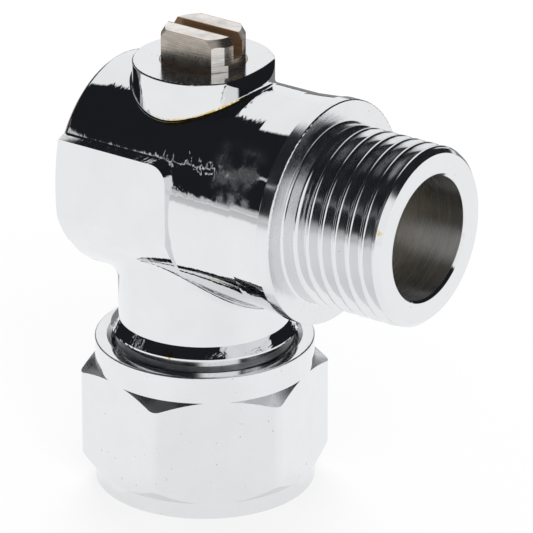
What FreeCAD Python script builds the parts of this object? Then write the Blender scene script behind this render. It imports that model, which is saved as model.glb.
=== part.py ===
import FreeCAD, Part
import math
import os

from FreeCAD import Vector

# Angle-pattern isolating valve for a 15 mm pipe, with a male half-inch outlet.
# Frame: the origin is on the inlet axis at the foot of the compression nut, where the
# valve stands. +Z runs up the inlet and spindle axis, +X out along the outlet.
# Lengths are millimetres. A reach counts along +X from the inlet axis. A rise counts up
# and a drop counts down from the outlet axis.

# Sizes set by the pipework
PIPE_RADIUS = 7.5
THREAD_RADIUS = 10.4775          # half-inch pipe thread, over the crests
PIPE_CLEARANCE = 0.1
THREAD_CLEARANCE = 0.1

# Body, outside
OUTLET_HEIGHT = 37.5             # outlet axis above the foot of the nut
BARREL_RADIUS = 12.6
BARREL_BACK = 12.0               # inlet axis to the closed end
BARREL_END_ROUND = 0.7
PAD_STAND = 0.15                 # face of the side pad beyond the barrel
PAD_REACH = 3.8
PAD_RISE = 6.2
PAD_CORNER_ROUND = 2.0
PAD_ROOT_ROUND = 0.35            # between the ledge of the pad and the barrel
PAD_FALL = 3.3                   # outlet axis down to the end of the level face
PAD_FADE_ANGLE = 35.0            # angle below the outlet axis where the pad runs out
PAD_END_TRIM = 0.8               # length of the slope at the closed end of the pad
SHOULDER_REACH = 18.3
SHOULDER_STAND = 0.5             # shoulder beyond the barrel
SHOULDER_WIDTH = 1.7
SHOULDER_FLARE = 4.2             # long taper up to the shoulder
SHOULDER_STEP = 0.1
SHOULDER_EDGE_ROUND = 0.2
OUTLET_REACH = 31.2
OUTLET_BORE_RADIUS = 7.2
OUTLET_LEAD = 0.65               # chamfer at the start of the outlet thread
BORE_MOUTH_CHAMFER = 0.3
BOSS_RADIUS = 8.15
BOSS_STAND = 1.9                 # boss top above the top of the barrel
BOSS_BEVEL_REACH = 7.1           # where the turned bevel towards the outlet meets the boss top
BOSS_BEVEL_DEPTH = 1.6
BOSS_BEVEL_RUN = 1.2
BOSS_ROOT_ROUND = 0.4
BOSS_EDGE_ROUND = 0.2
NECK_RADIUS = 10.0
NECK_DROP = 17.0
NECK_FLARE = 1.2                 # length of the cone from neck to collar
COLLAR_RADIUS = 10.9             # collar above the inlet thread
COLLAR_HEIGHT = 0.2
NECK_ROOT_ROUND = 1.6
INLET_MOUTH_CHAMFER = 1.7        # seat for the olive
PIPE_STOP_DROP = 18.5            # outlet axis to the stop that the pipe meets
WATERWAY_RADIUS = 6.2

# Ball, seats and retainer
BALL_RADIUS = 6.9
BALL_CLEARANCE = 0.03
PORT_RADIUS = 4.3
SEAT_REACH = 7.6                 # inlet axis to the flat back of a seat
SEAT_FRONT_REACH = 4.4
SEAT_BORE_RADIUS = 4.5
CHAMBER_CLEARANCE = 0.05
RETAINER_LENGTH = 4.5
RETAINER_SLOT_WIDTH = 2.0
RETAINER_SLOT_DEPTH = 1.6

# Spindle and its seals
SPINDLE_RADIUS = 5.0
SPINDLE_CLEARANCE = 0.05
SPINDLE_STAND = 3.9              # spindle end above the boss top
HEAD_RADIUS = 4.9                # turned end of the bar
HEAD_STAND = 0.75                # boss top up to the step between bar and head
HEAD_HALF_WIDTH = 3.35           # spindle axis to each long flat
HEAD_TOP_RADIUS = 4.35           # inside the turned chamfer at the top
HEAD_CHAMFER_DROP = 0.95         # height of that chamfer
HEAD_CORNER_DISTANCE = 4.82      # spindle axis to each narrow corner flat
HEAD_CORNER_ANGLE = 35.3         # degrees from the slot to the middle of a corner flat
SCREW_SLOT_WIDTH = 1.7
SCREW_SLOT_DEPTH = 2.7
O_RING_SECTION = 1.3
O_RING_GAP = 0.03
O_RING_UPPER_DEPTH = 1.6         # boss top to the middle of the ring
O_RING_LOWER_DEPTH = 3.8
GROOVE_WIDTH = 1.6
GROOVE_DEPTH = 1.35
FLANGE_RADIUS = 6.0
FLANGE_THICKNESS = 1.0
FLANGE_RISE = 7.6
FLANGE_CLEARANCE = 0.1
WASHER_THICKNESS = 0.5
WASHER_GAP = 0.02
TONGUE_THICKNESS = 2.4
TONGUE_HALF_LENGTH = 4.2
TONGUE_LENGTH = 2.2              # below the flange
TONGUE_CLEARANCE = 0.1

# Compression nut and olive
NUT_ACROSS_FLATS = 25.4
NUT_EDGE_ROUND = 1.5             # along the six upright edges
NUT_TURN = 12.0                  # degrees from the outlet to the middle of a flat
NUT_HEIGHT = 17.9
NUT_RING_RADIUS = 12.78
NUT_RING_HEIGHT = 3.2
NUT_RING_ROUND = 0.2
NUT_TOP_CHAMFER = 1.1            # height of the chamfer under the ring
NUT_FOOT_RADIUS = 12.86
NUT_FOOT_HEIGHT = 2.0
NUT_FOOT_CHAMFER = 1.8           # height of the chamfer above the foot
NUT_FOOT_ROUND = 0.25
NUT_RIM_RADIUS = 11.4
NUT_RELIEF_RADIUS = 10.9
NUT_RELIEF_DEPTH = 1.5
NUT_HOLE_LENGTH = 2.5
OLIVE_LENGTH = 7.0
OLIVE_RADIUS = 9.1
OLIVE_END_RADIUS = 8.0
OLIVE_SLOPE = 1.8
OLIVE_GAP = 0.1                  # loose seat of the olive on the two cones

X_AXIS = Vector(1, 0, 0)
Y_AXIS = Vector(0, 1, 0)
Z_AXIS = Vector(0, 0, 1)
CROSSING = Vector(0, 0, OUTLET_HEIGHT)
MARGIN = 1.0                     # how far a cutting solid stands clear of the piece
NEAR = 0.01                      # how close an edge lies to the place it is picked by
SOCKET_RADIUS = PIPE_RADIUS + PIPE_CLEARANCE

# The shoulder, pad and boss stand out from the barrel, and the spindle from the boss.
SHOULDER_RADIUS = BARREL_RADIUS + SHOULDER_STAND
PAD_FRONT = BARREL_RADIUS + PAD_STAND
BOSS_RISE = BARREL_RADIUS + BOSS_STAND
SPINDLE_RISE = BOSS_RISE + SPINDLE_STAND
O_RING_UPPER_RISE = BOSS_RISE - O_RING_UPPER_DEPTH
O_RING_LOWER_RISE = BOSS_RISE - O_RING_LOWER_DEPTH

# The olive stands on the cone of the nut, and the inlet mouth comes down round its top.
OLIVE_FOOT = NUT_HOLE_LENGTH + OLIVE_END_RADIUS - SOCKET_RADIUS + OLIVE_GAP
OLIVE_TOP = OLIVE_FOOT + OLIVE_LENGTH
MOUTH_HEIGHT = OLIVE_TOP + OLIVE_END_RADIUS + OLIVE_GAP - SOCKET_RADIUS - INLET_MOUTH_CHAMFER


def polygon_face(corners):
    return Part.Face(Part.makePolygon(corners + corners[:1]))


def turned_on_z(profile):
    """Solid turned about the inlet axis from corners (radius, height)."""
    corners = [Vector(radius, 0, height) for radius, height in profile]
    return polygon_face(corners).revolve(Vector(0, 0, 0), Z_AXIS, 360)


def turned_on_x(profile):
    """Solid turned about the outlet axis from corners (reach, radius)."""
    corners = [CROSSING + Vector(reach, 0, radius) for reach, radius in profile]
    return polygon_face(corners).revolve(CROSSING, X_AXIS, 360)


def rod_on_z(bottom, top, radius):
    return Part.makeCylinder(radius, top - bottom, Z_AXIS * bottom, Z_AXIS)


def rod_on_x(start, end, radius):
    return Part.makeCylinder(radius, end - start, CROSSING + X_AXIS * start, X_AXIS)


def block(low, high):
    size = high - low
    return Part.makeBox(size.x, size.y, size.z, low)


def follows_round(edge, radius):
    """True where an edge lies on a cylinder about the inlet axis."""
    span = edge.LastParameter - edge.FirstParameter
    points = [edge.valueAt(edge.FirstParameter + span * part) for part in (0.1, 0.3, 0.5, 0.7, 0.9)]
    return all(abs(math.hypot(point.x, point.y) - radius) < NEAR for point in points)


def rims_on_x(solid, reach, radius):
    """Full circles about the outlet axis at one reach and radius."""
    rims = []
    for edge in solid.Edges:
        box = edge.BoundBox
        if max(box.XMax - reach, reach - box.XMin, abs(box.YMax - radius)) < NEAR:
            rims.append(edge)
    return rims


def barrel():
    shoulder_start = SHOULDER_REACH - SHOULDER_WIDTH
    solid = turned_on_x([
        (-BARREL_BACK, 0),
        (-BARREL_BACK, BARREL_RADIUS),
        (shoulder_start - SHOULDER_FLARE, BARREL_RADIUS),
        (shoulder_start, SHOULDER_RADIUS - SHOULDER_STEP),
        (shoulder_start + SHOULDER_STEP, SHOULDER_RADIUS),
        (SHOULDER_REACH, SHOULDER_RADIUS),
        (SHOULDER_REACH, THREAD_RADIUS),
        (OUTLET_REACH - OUTLET_LEAD, THREAD_RADIUS),
        (OUTLET_REACH, THREAD_RADIUS - OUTLET_LEAD),
        (OUTLET_REACH, 0),
    ])
    solid = solid.makeFillet(BARREL_END_ROUND, rims_on_x(solid, -BARREL_BACK, BARREL_RADIUS))
    return solid.makeFillet(SHOULDER_EDGE_ROUND, rims_on_x(solid, SHOULDER_REACH, SHOULDER_RADIUS))


def pad_root():
    """Hollow round in the corner between the ledge of the pad and the barrel."""
    outer = BARREL_RADIUS + PAD_ROOT_ROUND
    rise = PAD_RISE + PAD_ROOT_ROUND
    centre = Vector(0, -math.sqrt(outer ** 2 - rise ** 2), rise)
    on_ledge = Vector(0, centre.y, PAD_RISE)
    on_barrel = centre * (BARREL_RADIUS / outer)
    inside = Vector(0, centre.y + 2 * PAD_ROOT_ROUND, PAD_RISE - PAD_ROOT_ROUND)
    middle = on_ledge + on_barrel - centre * 2
    middle = centre + middle * (PAD_ROOT_ROUND / middle.Length)
    outline = Part.Wire([
        Part.Arc(on_ledge, middle, on_barrel).toShape(),
        Part.LineSegment(on_barrel, inside).toShape(),
        Part.LineSegment(inside, on_ledge).toShape(),
    ])
    outline.translate(CROSSING - X_AXIS * (BARREL_BACK - BARREL_END_ROUND))
    return Part.Face(outline).extrude(X_AXIS * (BARREL_BACK - BARREL_END_ROUND + PAD_REACH - PAD_CORNER_ROUND))


def pad():
    """Raised pad on the side of the barrel: a level face with a ledge above it, which
    runs out round the barrel below and slopes away at the closed end."""
    fade = math.radians(PAD_FADE_ANGLE)
    half_fade = (fade + math.asin(PAD_FALL / PAD_FRONT)) / 2
    top = Vector(0, -PAD_FRONT, PAD_RISE)
    foot = Vector(0, -PAD_FRONT, -PAD_FALL)
    bulge = Vector(0, -math.cos(half_fade), -math.sin(half_fade)) * (PAD_FRONT + PAD_STAND / 2)
    low = Vector(0, -math.cos(fade), -math.sin(fade)) * BARREL_RADIUS
    inside_top = Vector(0, -NECK_RADIUS / 2, PAD_RISE)
    inside_low = Vector(0, -NECK_RADIUS / 2, low.z)
    outline = Part.Wire([
        Part.Arc(low, bulge, foot).toShape(),
        Part.LineSegment(foot, top).toShape(),
        Part.LineSegment(top, inside_top).toShape(),
        Part.LineSegment(inside_top, inside_low).toShape(),
        Part.LineSegment(inside_low, low).toShape(),
    ])
    outline.translate(CROSSING - X_AXIS * BARREL_BACK)
    solid = Part.Face(outline).extrude(X_AXIS * (BARREL_BACK + PAD_REACH))
    corner = [
        edge for edge in solid.Edges
        if edge.BoundBox.XMin > PAD_REACH - NEAR
        and edge.BoundBox.ZMin > OUTLET_HEIGHT + PAD_RISE - NEAR
    ]
    solid = solid.makeFillet(PAD_CORNER_ROUND, corner)
    outer = math.hypot(PAD_FRONT, PAD_RISE) + NEAR
    envelope = turned_on_x([
        (-BARREL_BACK, 0),
        (-BARREL_BACK, BARREL_RADIUS - BARREL_END_ROUND),
        (PAD_END_TRIM - BARREL_BACK, outer),
        (PAD_REACH + MARGIN, outer),
        (PAD_REACH + MARGIN, 0),
    ])
    return solid.common(envelope).fuse(pad_root())


def body_outside():
    neck_foot = OUTLET_HEIGHT - NECK_DROP
    collar_foot = neck_foot - NECK_FLARE - COLLAR_HEIGHT
    neck = turned_on_z([
        (0, MOUTH_HEIGHT),
        (THREAD_RADIUS, MOUTH_HEIGHT),
        (THREAD_RADIUS, collar_foot),
        (COLLAR_RADIUS, collar_foot),
        (COLLAR_RADIUS, neck_foot - NECK_FLARE),
        (NECK_RADIUS, neck_foot),
        (NECK_RADIUS, OUTLET_HEIGHT),
        (0, OUTLET_HEIGHT),
    ])
    boss_top = OUTLET_HEIGHT + BOSS_RISE
    boss = rod_on_z(OUTLET_HEIGHT, boss_top, BOSS_RADIUS)
    boss_rim = [edge for edge in boss.Edges if edge.BoundBox.ZMin > boss_top - NEAR]
    boss = boss.makeFillet(BOSS_EDGE_ROUND, boss_rim)
    solid = barrel().fuse([neck, boss])
    neck_root = [
        edge for edge in solid.Edges
        if follows_round(edge, NECK_RADIUS) and edge.BoundBox.ZMin > neck_foot + MARGIN
    ]
    solid = solid.makeFillet(NECK_ROOT_ROUND, neck_root)
    boss_root = [
        edge for edge in solid.Edges
        if follows_round(edge, BOSS_RADIUS) and edge.BoundBox.ZMin > OUTLET_HEIGHT + MARGIN
        and edge.BoundBox.ZMax < boss_top - BOSS_EDGE_ROUND - NEAR
    ]
    solid = solid.makeFillet(BOSS_ROOT_ROUND, boss_root)
    bevel = turned_on_x([
        (BOSS_BEVEL_REACH + BOSS_BEVEL_RUN, BOSS_RISE - BOSS_BEVEL_DEPTH),
        (BOSS_BEVEL_REACH - BOSS_BEVEL_RUN, BOSS_RISE + BOSS_BEVEL_DEPTH),
        (BOSS_RADIUS + MARGIN, BOSS_RISE + BOSS_BEVEL_DEPTH),
        (BOSS_RADIUS + MARGIN, BOSS_RISE - BOSS_BEVEL_DEPTH),
    ])
    above = rod_on_z(OUTLET_HEIGHT, boss_top + MARGIN, BOSS_RADIUS + MARGIN)
    return solid.cut(bevel.common(above)).fuse(pad())


def body_hollow():
    chamber_end = SEAT_REACH + CHAMBER_CLEARANCE
    mouth_reach = OUTLET_REACH - BORE_MOUTH_CHAMFER
    bore = turned_on_x([
        (-chamber_end, 0),
        (-chamber_end, OUTLET_BORE_RADIUS),
        (mouth_reach, OUTLET_BORE_RADIUS),
        (OUTLET_REACH, OUTLET_BORE_RADIUS + BORE_MOUTH_CHAMFER),
        (OUTLET_REACH + MARGIN, OUTLET_BORE_RADIUS + BORE_MOUTH_CHAMFER),
        (OUTLET_REACH + MARGIN, 0),
    ])
    stop = OUTLET_HEIGHT - PIPE_STOP_DROP
    flange_seat = OUTLET_HEIGHT + FLANGE_RISE + FLANGE_THICKNESS + WASHER_THICKNESS + WASHER_GAP
    hole_radius = SPINDLE_RADIUS + SPINDLE_CLEARANCE
    counterbore_radius = FLANGE_RADIUS + FLANGE_CLEARANCE
    drilled = turned_on_z([
        (0, MOUTH_HEIGHT - MARGIN),
        (SOCKET_RADIUS + INLET_MOUTH_CHAMFER, MOUTH_HEIGHT - MARGIN),
        (SOCKET_RADIUS + INLET_MOUTH_CHAMFER, MOUTH_HEIGHT),
        (SOCKET_RADIUS, MOUTH_HEIGHT + INLET_MOUTH_CHAMFER),
        (SOCKET_RADIUS, stop),
        (WATERWAY_RADIUS, stop),
        (WATERWAY_RADIUS, OUTLET_HEIGHT),
        (counterbore_radius, OUTLET_HEIGHT),
        (counterbore_radius, flange_seat),
        (hole_radius, flange_seat),
        (hole_radius, OUTLET_HEIGHT + SPINDLE_RISE),
        (0, OUTLET_HEIGHT + SPINDLE_RISE),
    ])
    return bore.fuse(drilled)


def valve_body():
    return body_outside().cut(body_hollow())


def ball():
    solid = Part.makeSphere(BALL_RADIUS, CROSSING)
    through = rod_on_x(-BALL_RADIUS, BALL_RADIUS, PORT_RADIUS)
    below = rod_on_z(OUTLET_HEIGHT - BALL_RADIUS, OUTLET_HEIGHT, PORT_RADIUS)
    half_slot = TONGUE_THICKNESS / 2 + TONGUE_CLEARANCE
    slot_floor = FLANGE_RISE - TONGUE_LENGTH - TONGUE_CLEARANCE
    slot = block(
        CROSSING + Vector(-half_slot, -BALL_RADIUS, slot_floor),
        CROSSING + Vector(half_slot, BALL_RADIUS, BALL_RADIUS + MARGIN),
    )
    return solid.cut([through, below, slot])


def outlet_seat_ring():
    outer = OUTLET_BORE_RADIUS - CHAMBER_CLEARANCE
    ring = rod_on_x(SEAT_FRONT_REACH, SEAT_REACH, outer)
    bore = rod_on_x(SEAT_FRONT_REACH - MARGIN, SEAT_REACH + MARGIN, SEAT_BORE_RADIUS)
    return ring.cut([bore, Part.makeSphere(BALL_RADIUS + BALL_CLEARANCE, CROSSING)])


def back_seat_ring():
    return outlet_seat_ring().mirror(CROSSING, X_AXIS)


def seat_retainer():
    start = SEAT_REACH + CHAMBER_CLEARANCE
    end = start + RETAINER_LENGTH
    outer = OUTLET_BORE_RADIUS - CHAMBER_CLEARANCE
    ring = rod_on_x(start, end, outer)
    bore = rod_on_x(start - MARGIN, end + MARGIN, SEAT_BORE_RADIUS)
    key_slot = block(
        CROSSING + Vector(end - RETAINER_SLOT_DEPTH, -outer - MARGIN, -RETAINER_SLOT_WIDTH / 2),
        CROSSING + Vector(end + MARGIN, outer + MARGIN, RETAINER_SLOT_WIDTH / 2),
    )
    return ring.cut([bore, key_slot])


def flat_cutter(distance, angle):
    """Waste beside one flat of the spindle head, down to the boss top."""
    clear = SPINDLE_RADIUS + MARGIN
    waste = block(
        CROSSING + Vector(distance, -clear, BOSS_RISE),
        CROSSING + Vector(clear, clear, SPINDLE_RISE + MARGIN),
    )
    waste.rotate(CROSSING, Z_AXIS, angle)
    return waste


def spindle():
    flange_top = FLANGE_RISE + FLANGE_THICKNESS
    step = BOSS_RISE + HEAD_STAND
    bar = rod_on_z(OUTLET_HEIGHT + FLANGE_RISE, OUTLET_HEIGHT + step, SPINDLE_RADIUS)
    head = turned_on_z([
        (0, OUTLET_HEIGHT + step),
        (HEAD_RADIUS, OUTLET_HEIGHT + step),
        (HEAD_RADIUS, OUTLET_HEIGHT + SPINDLE_RISE - HEAD_CHAMFER_DROP),
        (HEAD_TOP_RADIUS, OUTLET_HEIGHT + SPINDLE_RISE),
        (0, OUTLET_HEIGHT + SPINDLE_RISE),
    ])
    flange = rod_on_z(OUTLET_HEIGHT + FLANGE_RISE, OUTLET_HEIGHT + flange_top, FLANGE_RADIUS)
    tongue = block(
        CROSSING + Vector(-TONGUE_THICKNESS / 2, -TONGUE_HALF_LENGTH, FLANGE_RISE - TONGUE_LENGTH),
        CROSSING + Vector(TONGUE_THICKNESS / 2, TONGUE_HALF_LENGTH, FLANGE_RISE),
    )
    waste = []
    for angle in (90, 270):
        waste.append(flat_cutter(HEAD_HALF_WIDTH, angle))
    for angle in (0, 180):
        for corner in (angle - HEAD_CORNER_ANGLE, angle + HEAD_CORNER_ANGLE):
            waste.append(flat_cutter(HEAD_CORNER_DISTANCE, corner))
    waste.append(block(
        CROSSING + Vector(-SPINDLE_RADIUS - MARGIN, -SCREW_SLOT_WIDTH / 2, SPINDLE_RISE - SCREW_SLOT_DEPTH),
        CROSSING + Vector(SPINDLE_RADIUS + MARGIN, SCREW_SLOT_WIDTH / 2, SPINDLE_RISE + MARGIN),
    ))
    for rise in (O_RING_UPPER_RISE, O_RING_LOWER_RISE):
        low = OUTLET_HEIGHT + rise - GROOVE_WIDTH / 2
        high = low + GROOVE_WIDTH
        ring = rod_on_z(low, high, SPINDLE_RADIUS + MARGIN)
        waste.append(ring.cut(rod_on_z(low, high, SPINDLE_RADIUS - GROOVE_DEPTH)))
    return bar.fuse([head, flange, tongue]).cut(waste)


def spindle_o_ring(rise):
    section = O_RING_SECTION / 2
    centre = SPINDLE_RADIUS - GROOVE_DEPTH + O_RING_GAP + section
    return Part.makeTorus(centre, section, CROSSING + Z_AXIS * rise, Z_AXIS)


def spindle_o_ring_upper():
    return spindle_o_ring(O_RING_UPPER_RISE)


def spindle_o_ring_lower():
    return spindle_o_ring(O_RING_LOWER_RISE)


def thrust_washer():
    low = OUTLET_HEIGHT + FLANGE_RISE + FLANGE_THICKNESS + WASHER_GAP
    high = low + WASHER_THICKNESS
    disc = rod_on_z(low, high, FLANGE_RADIUS)
    return disc.cut(rod_on_z(low - MARGIN, high + MARGIN, SPINDLE_RADIUS + SPINDLE_CLEARANCE))


def compression_nut():
    corner_radius = NUT_ACROSS_FLATS / math.sqrt(3)
    ring_foot = NUT_HEIGHT - NUT_RING_HEIGHT
    hexagon_corners = []
    for number in range(6):
        angle = math.radians(NUT_TURN + 30 + 60 * number)
        hexagon_corners.append(Vector(corner_radius * math.cos(angle), corner_radius * math.sin(angle), 0))
    hexagon = polygon_face(hexagon_corners).extrude(Z_AXIS * NUT_HEIGHT)
    upright = [edge for edge in hexagon.Edges if edge.BoundBox.ZLength > NUT_HEIGHT - NEAR]
    hexagon = hexagon.makeFillet(NUT_EDGE_ROUND, upright)
    envelope = turned_on_z([
        (0, 0),
        (NUT_FOOT_RADIUS, 0),
        (NUT_FOOT_RADIUS, NUT_FOOT_HEIGHT),
        (corner_radius + NEAR, NUT_FOOT_HEIGHT + NUT_FOOT_CHAMFER),
        (corner_radius + NEAR, ring_foot - NUT_TOP_CHAMFER),
        (NUT_RING_RADIUS, ring_foot),
        (NUT_RING_RADIUS, NUT_HEIGHT),
        (0, NUT_HEIGHT),
    ])
    solid = hexagon.common(envelope).fuse([
        rod_on_z(0, NUT_FOOT_HEIGHT, NUT_FOOT_RADIUS),
        rod_on_z(ring_foot, NUT_HEIGHT, NUT_RING_RADIUS),
    ])
    foot = [edge for edge in solid.Edges if edge.BoundBox.ZMax < NEAR]
    solid = solid.makeFillet(NUT_FOOT_ROUND, foot)
    top = [edge for edge in solid.Edges if edge.BoundBox.ZMin > NUT_HEIGHT - NEAR]
    solid = solid.makeFillet(NUT_RING_ROUND, top)
    thread_radius = THREAD_RADIUS + THREAD_CLEARANCE
    rim_depth = NUT_RIM_RADIUS - NUT_RELIEF_RADIUS
    relief_foot = NUT_HEIGHT - NUT_RELIEF_DEPTH
    hollow = turned_on_z([
        (0, -MARGIN),
        (SOCKET_RADIUS, -MARGIN),
        (SOCKET_RADIUS, NUT_HOLE_LENGTH),
        (thread_radius, NUT_HOLE_LENGTH + thread_radius - SOCKET_RADIUS),
        (thread_radius, relief_foot - (NUT_RELIEF_RADIUS - thread_radius)),
        (NUT_RELIEF_RADIUS, relief_foot),
        (NUT_RELIEF_RADIUS, NUT_HEIGHT - rim_depth),
        (NUT_RIM_RADIUS, NUT_HEIGHT),
        (NUT_RIM_RADIUS, NUT_HEIGHT + MARGIN),
        (0, NUT_HEIGHT + MARGIN),
    ])
    return solid.cut(hollow)


def olive():
    return turned_on_z([
        (SOCKET_RADIUS, OLIVE_FOOT),
        (OLIVE_END_RADIUS, OLIVE_FOOT),
        (OLIVE_RADIUS, OLIVE_FOOT + OLIVE_SLOPE),
        (OLIVE_RADIUS, OLIVE_TOP - OLIVE_SLOPE),
        (OLIVE_END_RADIUS, OLIVE_TOP),
        (SOCKET_RADIUS, OLIVE_TOP),
    ])


PIECES = {
    "valve_body": valve_body,
    "ball": ball,
    "outlet_seat_ring": outlet_seat_ring,
    "back_seat_ring": back_seat_ring,
    "seat_retainer": seat_retainer,
    "spindle": spindle,
    "spindle_o_ring_upper": spindle_o_ring_upper,
    "spindle_o_ring_lower": spindle_o_ring_lower,
    "thrust_washer": thrust_washer,
    "compression_nut": compression_nut,
    "olive": olive,
}

os.makedirs("parts", exist_ok=True)
for name, make in PIECES.items():
    shape = make()
    shape.exportStep("parts/" + name + ".step")
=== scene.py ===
import math

import bpy
import numpy as np
from bpy.props import FloatProperty, FloatVectorProperty, IntProperty, PointerProperty
from bpy.types import Operator, Panel, PropertyGroup
from mathutils import Matrix, Vector


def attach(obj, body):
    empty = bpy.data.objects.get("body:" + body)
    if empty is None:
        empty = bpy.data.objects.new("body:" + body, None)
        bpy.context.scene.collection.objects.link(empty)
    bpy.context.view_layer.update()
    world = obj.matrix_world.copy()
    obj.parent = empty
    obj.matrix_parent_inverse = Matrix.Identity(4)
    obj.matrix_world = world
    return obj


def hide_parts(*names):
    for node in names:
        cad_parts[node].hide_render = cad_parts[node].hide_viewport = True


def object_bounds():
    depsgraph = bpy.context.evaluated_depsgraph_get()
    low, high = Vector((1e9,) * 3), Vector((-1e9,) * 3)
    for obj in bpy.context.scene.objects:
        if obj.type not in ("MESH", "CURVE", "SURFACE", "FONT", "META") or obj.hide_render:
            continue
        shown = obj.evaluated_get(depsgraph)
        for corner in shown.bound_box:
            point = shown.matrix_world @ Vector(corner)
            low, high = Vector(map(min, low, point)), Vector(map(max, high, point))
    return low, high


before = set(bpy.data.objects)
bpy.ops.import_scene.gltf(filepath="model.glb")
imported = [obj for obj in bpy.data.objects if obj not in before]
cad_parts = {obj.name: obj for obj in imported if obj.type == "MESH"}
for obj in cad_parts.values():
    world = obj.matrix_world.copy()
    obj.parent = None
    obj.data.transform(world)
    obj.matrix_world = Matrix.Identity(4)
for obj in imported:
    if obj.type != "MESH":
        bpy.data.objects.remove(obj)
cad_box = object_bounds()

bl_info = {
    "name": "Isolating valve dressing",
    "version": (1, 0, 0),
    "blender": (4, 5, 0),
    "location": "View3D > Sidebar > Valve",
    "description": "Plated body with cut threads, plated nut, milled spindle and studio",
    "category": "Object",
}

# Lengths are in metres. The inlet and spindle axis runs up +Z and the outlet axis along +X.
OUTLET_HEIGHT = 0.0375
FOOT = Vector((0.0, 0.0, 0.0))
CROSSING = Vector((0.0, 0.0, OUTLET_HEIGHT))
UPRIGHT = (0.0, 0.0, 0.0)
UPSIDE_DOWN = (math.pi, 0.0, 0.0)
ALONG_OUTLET = (0.0, math.pi / 2, 0.0)
TOUCH = 2e-5                    # points this close lie at one level
HAIR = 1e-4                     # keeps the centre of a face clear of the edge beside it
SEAM = 1e-6                     # joins the two edges of a rolled sleeve
MERGE_STEPS = 1e7               # points on the same step of a metre are one
TINY = 1e-30
SQUARE = 0.95                   # share of a normal along an axis on a face that looks along it
NEARLY_SQUARE = 0.9
NOISE_MIDDLE = (0.3, 0.7)       # most values of a noise lie between these

# Body
BARREL_RADIUS = 0.0126
PAD_REACH = 0.0038
PAD_RISE = 0.0062
PAD_CORNER = 0.002
PAD_DRAFT = 0.00035             # lean of the side wall of the pad, at its foot
LEDGE_LEAN = 0.55               # outward lean of the normals on the ledge of the pad
LEDGE_MARGIN = 0.0004
LEDGE_SIDE = -0.0095
LEDGE_BAND = 0.0015
LEDGE_LEVEL = 0.8
TURNED_END = 0.0166             # where the lathe work on the outlet end starts
OUTLET_MOUTH_RADIUS = 0.0075
OUTLET_BORE_LIMIT = 0.00725     # between the bore and the chamfer of its mouth
OUTLET_NICK = (0.0306, -0.0094, 0.0413)
CHAMBER_BACK = -0.008
COLLAR_FOOT = 0.0191
INLET_MOUTH_RADIUS = 0.0093
INLET_BORE_TOP = 0.03
BOSS_TOP = 0.052
SPINDLE_BORE_LIMIT = 0.0063
SPINDLE_BORE_FOOT = 0.04

# Nut
NUT_FLATS = 6
NUT_FLAT_DISTANCE = 0.0127
NUT_FLAT_ANGLE = math.radians(12.0)
NUT_FOOT_TOP = 0.002
NUT_FOOT_RADIUS = 0.01286
NUT_FOOT_SLOPE = 6.0            # fall of the upper edge of the foot for each length that it stands out
NUT_LEDGE_START = 0.0125
NUT_LEDGE_LEVEL = 0.05
NUT_HOLE_TOP = 0.0025
NUT_RELIEF_FOOT = 0.0164
NUT_RELIEF_RADIUS = 0.0109
NUT_BORE_LIMIT = 0.0108
NUT_MIDDLE = 0.012
NUT_CORNER_START = 0.0126       # outside this are the chamfers under the ring
NUT_RIM_LIMIT = 0.0121          # inside this is the chamfer of the top opening
NUT_CHAMFER_LEVEL = 0.3

# Spindle
SPINDLE_TOP = cad_box[1].z
SCREW_SLOT_HALF = 0.00085
LONG_FLAT = 0.00335
CORNER_FLAT_LEAN = (0.816, 0.578)
CORNER_MATCH = 0.02
SLOT_WALL_LEAN = 0.1
STEP_REACH = 0.00494            # outside this is the step at the foot of the flats
STEP_RISE = 0.004
STEP_WALL_LEAN = 0.5
WORN_EDGE = 0.00015
WORN_EDGE_ANGLE = math.radians(28.0)


# Settings


def length(name, description, default):
    return FloatProperty(name=name, description=description, default=default, unit="LENGTH", precision=5)


def share(name, description, default):
    return FloatProperty(
        name=name, description=description, default=default, min=0.0, max=1.0, subtype="FACTOR")


def angle(name, description, degrees):
    return FloatProperty(
        name=name, description=description, default=math.radians(degrees), subtype="ANGLE")


def colour(name, description, default):
    return FloatVectorProperty(
        name=name, description=description, default=default, size=3, min=0.0, max=1.0, subtype="COLOR")


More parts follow.
